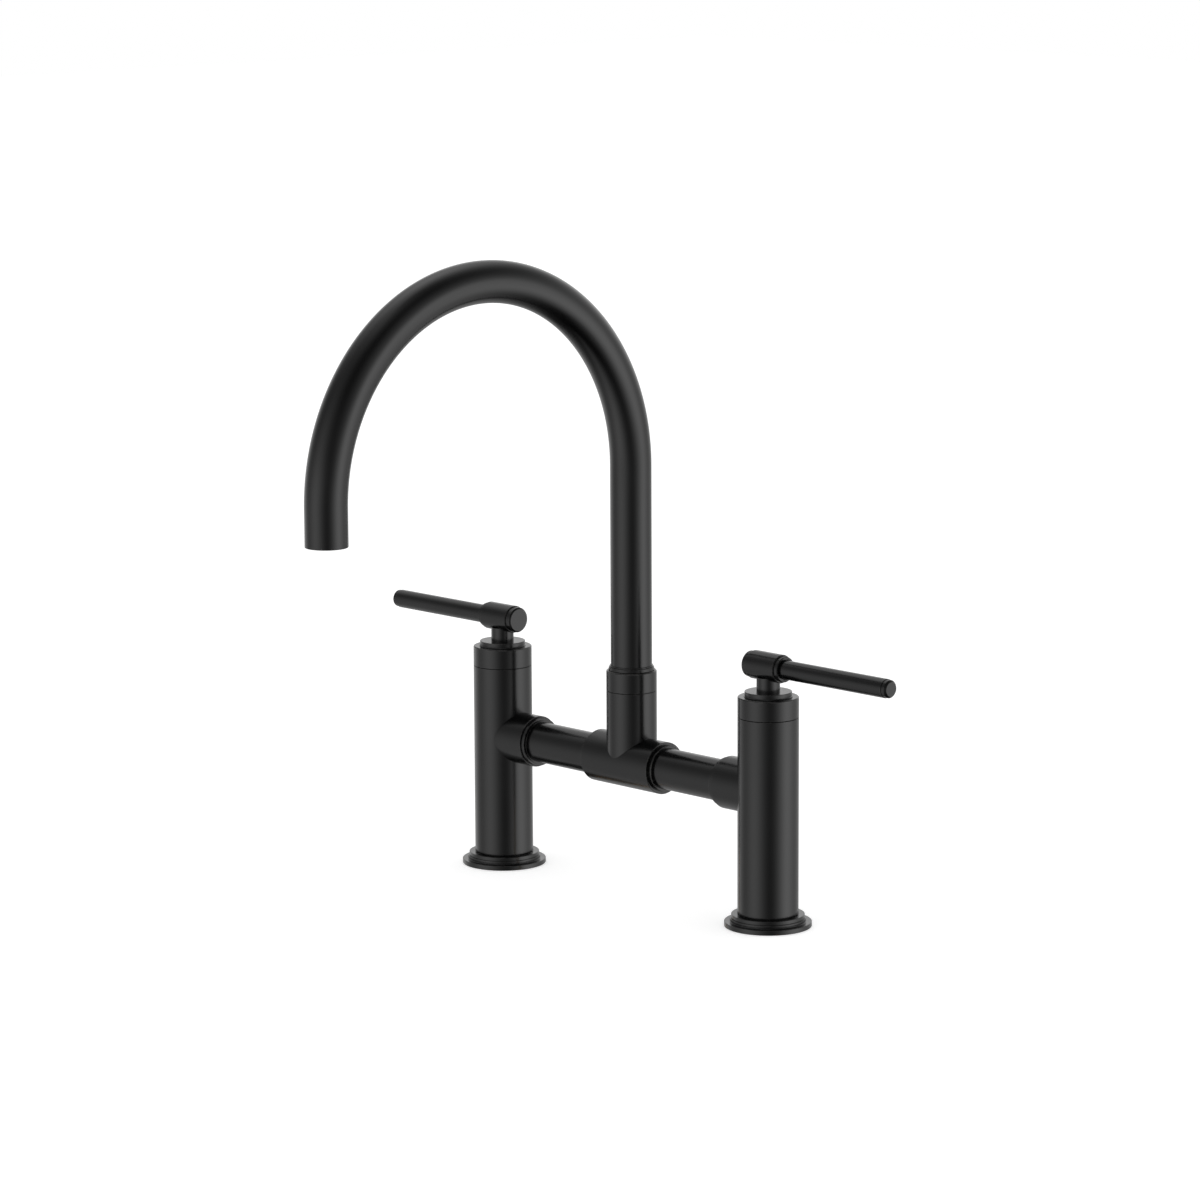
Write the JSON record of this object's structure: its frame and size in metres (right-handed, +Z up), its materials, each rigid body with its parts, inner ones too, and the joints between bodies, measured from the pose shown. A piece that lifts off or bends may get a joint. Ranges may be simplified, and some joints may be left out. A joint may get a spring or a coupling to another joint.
{
  "type": "bridge kitchen mixer tap",
  "caption": "Deck-mounted bridge kitchen mixer tap in matte black, with a swivelling gooseneck spout and straight lever handles on quarter-turn valves.",
  "frame": {"origin": "on the deck plane, midway between the axes of the two valve posts and on the spout's swivel axis", "axes": "+X from the left post to the right post, -Y towards the user and over the sink, +Z up"},
  "size_m": [0.3738, 0.243, 0.4083],
  "materials": {
    "black_coating": "matte black coating over brass",
    "brass": "turned, bare",
    "steel": "zinc plated",
    "rubber": "moulded",
    "nylon": "moulded",
    "ceramic": "lapped"
  },
  "bodies": {
    "root": {"left_escutcheon": "black_coating", "right_escutcheon": "black_coating", "base_gaskets": "rubber", "left_post": "black_coating", "right_post": "black_coating", "left_shank": "brass", "right_shank": "brass", "rubber_washers": "rubber", "steel_washers": "steel", "lock_nuts": "brass", "left_cap": "black_coating", "right_cap": "black_coating", "left_valve_body": "brass", "right_valve_body": "brass", "left_fixed_disc": "ceramic", "right_fixed_disc": "ceramic", "seat_seals": "rubber", "valve_orings": "rubber", "branch_rings": "black_coating", "left_bridge_pipe": "black_coating", "right_bridge_pipe": "black_coating", "tee": "black_coating", "tee_rings": "black_coating", "bridge_orings": "rubber", "spout_collar": "black_coating", "spout_bush": "nylon", "glide_washers": "nylon"},
    "left_handle": {"left_spindle": "brass", "left_moving_disc": "ceramic", "left_spindle_oring": "rubber", "left_circlip": "steel", "left_handle_base": "black_coating", "left_hub": "black_coating", "left_hub_cap": "black_coating", "left_lever_collar": "black_coating", "left_lever": "black_coating", "left_lever_tip": "black_coating", "left_handle_screw": "steel"},
    "right_handle": {"right_spindle": "brass", "right_moving_disc": "ceramic", "right_spindle_oring": "rubber", "right_circlip": "steel", "right_handle_base": "black_coating", "right_hub": "black_coating", "right_hub_cap": "black_coating", "right_lever_collar": "black_coating", "right_lever": "black_coating", "right_lever_tip": "black_coating", "right_handle_screw": "steel"},
    "spout": {"spout_tube": "black_coating", "spout_stem": "brass", "spout_orings": "rubber", "spout_ring": "black_coating", "outlet_sleeve": "brass", "aerator_housing": "nylon", "aerator_insert": "nylon", "aerator_washer": "rubber"}
  },
  "joints": [
    {"name": "left_handle_turn", "type": "hinge", "parent": "root", "child": "left_handle", "pos_m": [-0.1016, 0, 0.1214], "axis": [0, 0, 1], "range_deg": [0, 90]},
    {"name": "right_handle_turn", "type": "hinge", "parent": "root", "child": "right_handle", "pos_m": [0.1016, 0, 0.1214], "axis": [0, 0, 1], "range_deg": [-90, 0]},
    {"name": "spout_swivel", "type": "hinge", "parent": "root", "child": "spout", "pos_m": [0, 0, 0.1216], "axis": [0, 0, 1], "continuous": true}
  ]
}
